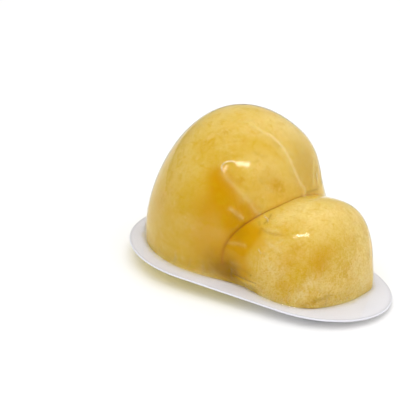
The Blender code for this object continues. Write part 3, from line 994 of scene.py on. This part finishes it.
def pleat_strip(points, height, half_width, milk, fades):
    """Rows of points across one pleat, and their milkiness."""
    line = settle(smooth_line(settle(points * MM), PLEAT_STEP))
    normal = film_normals(line)
    side = np.cross(normal, unit(np.gradient(line, axis=0)))
    fade = line_fade(line, fades)
    rows = []
    hazes = []
    for across in np.linspace(-1, 1, PLEAT_ACROSS):
        foot = line + side * (across * half_width * MM * (0.4 + 0.6 * fade))[:, None]
        foot = settle(foot, 1)
        crown = math.cos(across * math.pi / 2) ** 2
        lift = PLEAT_LIFT * (1.2 * crown - 0.6) + height * MM * crown * fade + film_relief(foot)
        rows.append(foot + normal * lift[:, None])
        hazes.append(milk * fade * crown)
    return np.stack(rows, axis=1), np.stack(hazes, axis=1)


def make_pleats(material):
    """All narrow pleats in one piece, each a low welt standing on the film."""
    points = []
    faces = []
    hazes = []
    for form in pleat_lines():
        strip, haze = pleat_strip(*form)
        here = len(points) + np.arange(haze.size).reshape(haze.shape)
        quads = np.stack([here[:-1, :-1], here[1:, :-1], here[1:, 1:], here[:-1, 1:]], axis=2)
        faces += quads.reshape(-1, 4).tolist()
        points += strip.reshape(-1, 3).tolist()
        hazes += haze.ravel().tolist()
    obj = mesh_object("film_pleats", points, faces)
    store(obj, "haze", hazes)
    obj.data.materials.append(material)
    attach(obj, "root")
    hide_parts("wrapped_scamorza")


# ---- card
CARD_WHITES = ((0.790, 0.790, 0.845), (0.820, 0.820, 0.875))
# painted shade on the card's rounded edge
CARD_RIM_SHADE = (0.640, 0.640, 0.690)
PRINT_WHITE = (0.87, 0.87, 0.88)
PRINT_YELLOWS = ((0.90, 0.72, 0.03), (0.93, 0.78, 0.08))
PRINT_BLUE = (0.02, 0.07, 0.35)
PRINT_RED = (0.60, 0.03, 0.03)
PRINT_GREY = (0.25, 0.24, 0.22)


def card_white_material():
    g = Graph(bpy.data.materials.new("card_white"))
    place = g.place()
    # Painted shade: the card's rounded edge is darkened all round.
    rim = g.span(g.attribute("share"), 0.975, 1.0, 0.0, 0.8)
    fibre = g.noise(place, 1400.0, 3.0, 0.6)
    return g.principled({
        "Base Color": g.mix(rim, g.two_tone(place, 60.0, 3.0, CARD_WHITES), CARD_RIM_SHADE),
        "Roughness": g.span(fibre, 0.3, 0.7, 0.42, 0.55),
        "Specular IOR Level": 0.4, "Normal": g.bump(fibre, 0.12, 0.0001),
    })


def band(g, value, low, high, soft=0.0002):
    """1 where the value lies between low and high."""
    rising = g.span(value, low - soft, low + soft)
    return g.times(rising, g.span(value, high - soft, high + soft, 1.0, 0.0))


def card_print_material():
    """The underside: a white head end, a yellow field, a plain bar and rows of fine lines."""
    g = Graph(bpy.data.materials.new("card_print"))
    place = g.place()
    split = g.add("SeparateXYZ", {"Vector": place})
    x = split["X"]
    y = split["Y"]
    inner = g.span(g.attribute("share"), 0.955, 0.960, 1.0, 0.0)
    across = g.math("ADD", x, g.times(g.times(y, y), -12.0))
    field = g.times(inner, g.span(across, -0.004, 0.026, 1.0, 0.0))
    field = g.times(field, g.span(across, -0.060, 0.020, 1.0, 0.55))
    colour = g.mix(field, PRINT_WHITE, g.two_tone(place, 25.0, 2.0, PRINT_YELLOWS))
    bar = g.times(band(g, x, 0.0385, 0.0440), band(g, y, -0.017, 0.017))
    colour = g.mix(bar, colour, PRINT_BLUE)
    red = g.times(band(g, x, -0.0085, -0.0075), band(g, y, -0.020, 0.020))
    colour = g.mix(red, colour, PRINT_RED)
    values = {"Vector": place, "Scale": 140.0}
    rows = g.add("TexWave", values, wave_type="BANDS", bands_direction="X")["Fac"]
    lines = g.times(g.span(rows, 0.86, 0.93), band(g, x, -0.034, -0.014))
    lines = g.times(lines, band(g, y, -0.024, 0.024))
    fibre = g.noise(place, 900.0, 3.0, 0.6)
    return g.principled({
        "Base Color": g.mix(g.times(lines, 0.55), colour, PRINT_GREY),
        "Roughness": g.span(fibre, 0.3, 0.7, 0.26, 0.36),
        "Coat Weight": 0.3, "Coat Roughness": 0.12, "Normal": g.bump(fibre, 0.08, 0.0001),
    })


def make_card():
    """Both faces with a rounded edge; the rim is faintly crimped all round."""
    turn = np.linspace(-math.pi, math.pi, CARD_AROUND, endpoint=False)
    outline = outline_radius(turn)
    half = CARD_THICKNESS / 2
    inner = [step / CARD_RINGS for step in range(1, CARD_RINGS)]
    bends = [math.pi * step / CARD_EDGE for step in range(CARD_EDGE + 1)]
    profile = [(share, 0.0, 0.0) for share in inner]
    profile += [(1.0, half * (math.sin(bend) - 1), half * (1 - math.cos(bend))) for bend in bends]
    profile += [(share, 0.0, CARD_THICKNESS) for share in reversed(inner)]
    steps = np.hypot(np.gradient(outline * np.cos(turn)), np.gradient(outline * np.sin(turn)))
    travel = np.cumsum(steps)
    crimp = CRIMP_HEIGHT * np.sin(travel / travel[-1] * 2 * math.pi * CRIMPS)
    rings = []
    shares = []
    for share, outward, rise in profile:
        radius = share * outline + outward
        x = radius * np.cos(turn)
        y = radius * np.sin(turn)
        wave = crimp * ease((share - CRIMP_START) / (1 - CRIMP_START))
        wave *= 1 if share == 1.0 else 0.6
        rings.append(np.stack([x, y, card_under(x, y) + rise + wave], axis=1))
        shares.append(np.full(len(turn), share))
    centre = float(card_under(0.0, 0.0))
    grid = np.array(rings)
    grid[..., 2] = np.maximum(grid[..., 2], 0.0)
    obj = ring_object("card_sheet", grid, (0, 0, centre + CARD_THICKNESS), (0, 0, centre))
    store(obj, "share", np.append(np.concatenate(shares), [0.0, 0.0]))
    obj.data.materials.append(card_white_material())
    obj.data.materials.append(card_print_material())
    under = len(turn) * (CARD_RINGS - 1)
    for face in obj.data.polygons:
        low = min(face.vertices) < under or face.vertices[-1] == len(turn) * len(profile)
        face.material_index = 1 if low else 0
    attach(obj, "root")
    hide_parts("card")


# ---- studio
CAMERA_PLACE = Vector((0.2648, -0.3015, 0.1869))
CAMERA_BACK = Vector((0.6587, -0.6566, 0.3675))
CAMERA_ROLL = math.radians(3.23)
CAMERA_LENS, CAMERA_SENSOR = 97.3, 36.0
UP = Vector((0, 0, 1))
AIM = Vector((0.0, -0.010, 0.026))
LIGHT_DISTANCE = 0.62
# The light of the tent: the way it grows, where the growth starts and ends, both strengths.
TENT = ((0.90, 0.00, 0.20), (-1.0, 1.0), (0.98, 1.26))
MIRROR_TENT = ((0.42, 0.80, 0.30), (-0.40, 0.95), (0.05, 1.05))  # as the film reflects it
# Lamps: direction, size, power and spin in degrees.
KEY_LIGHT = ((0.25, -0.42, 0.87), (0.36, 0.36), 0.80, 0.0)
GLINTS = {  # seen only as the film reflects them
    "strip": ((0.322, -0.470, 0.816), (0.28, 0.052), 1.60, -9.0),
    "side": ((0.100, -0.590, 0.740), (0.020, 0.080), 0.20, 12.0),
}
TABLE_HALF = 3.0
TABLE_WHITES = ((0.92, 0.91, 0.90), (0.94, 0.935, 0.93))


def placed(place, right, up, back):
    return Matrix.Translation(place) @ Matrix((right, up, back)).transposed().to_4x4()


def make_camera():
    back = CAMERA_BACK.normalized()
    level = UP.cross(back).normalized()
    upright = back.cross(level)
    right = level * math.cos(CAMERA_ROLL) + upright * math.sin(CAMERA_ROLL)
    data = bpy.data.cameras.new("camera")
    data.lens = CAMERA_LENS
    data.sensor_width = CAMERA_SENSOR
    data.clip_start = 0.01
    camera = new_object("camera", data)
    camera.matrix_world = placed(CAMERA_PLACE, right, back.cross(right), back)
    bpy.context.scene.camera = camera


def area_light(name, toward, size, power, spin):
    """A rectangle that lights the pack from a direction, turned about it by the spin."""
    way = Vector(toward).normalized()
    data = bpy.data.lights.new(name, "AREA")
    data.shape = "RECTANGLE"
    data.size, data.size_y = size
    data.energy = power
    level = UP.cross(CAMERA_BACK)
    level = (level - way * level.dot(way)).normalized()
    level.rotate(Quaternion(way, math.radians(spin)))
    light = new_object(name, data)
    light.matrix_world = placed(AIM + way * LIGHT_DISTANCE, level, way.cross(level), way)
    return light


def tent_light(g, toward, limits, strengths):
    """White light whose strength runs from the first to the second along a direction."""
    values = {0: g.add("TexCoord")["Generated"], 1: Vector(toward).normalized()}
    side = g.add("VectorMath", values, operation="DOT_PRODUCT")["Value"]
    values = {"Color": WHITE, "Strength": g.span(side, *limits, *strengths)}
    return g.add("Background", values)["Background"]


def make_world():
    """White for the camera; a soft, nearly even tent, darker in reflections on the near left."""
    g = Graph(bpy.data.worlds.new("studio"), "ShaderNodeOutputWorld")
    rays = g.add("LightPath")
    tents = (tent_light(g, *TENT), tent_light(g, *MIRROR_TENT))
    lit = g.mix_shaders(rays["Is Glossy Ray"], *tents)
    seen = g.add("Background", {"Color": WHITE})["Background"]
    bpy.context.scene.world = g.finish(g.mix_shaders(rays["Is Camera Ray"], lit, seen))


def make_floor():
    corners = [(x * TABLE_HALF, y * TABLE_HALF, 0) for x, y in ((-1, -1), (1, -1), (1, 1), (-1, 1))]
    floor = mesh_object("floor", corners, [(0, 1, 2, 3)])
    g = Graph(bpy.data.materials.new("white_table"))
    colour = g.two_tone(g.place(), 8.0, 2.0, TABLE_WHITES)
    floor.data.materials.append(g.principled({"Base Color": colour, "Roughness": 0.6}))


def make_lights():
    area_light("key", *KEY_LIGHT).visible_glossy = False
    for name, form in GLINTS.items():
        area_light(name, *form).visible_diffuse = False


def main():
    make_camera()
    make_cheese()
    film = film_material()
    make_film(film)
    make_pleats(film)
    make_card()
    make_world()
    make_floor()
    make_lights()
    scene = bpy.context.scene
    scene.view_settings.view_transform = "Standard"
    scene.view_settings.look = "None"


main()
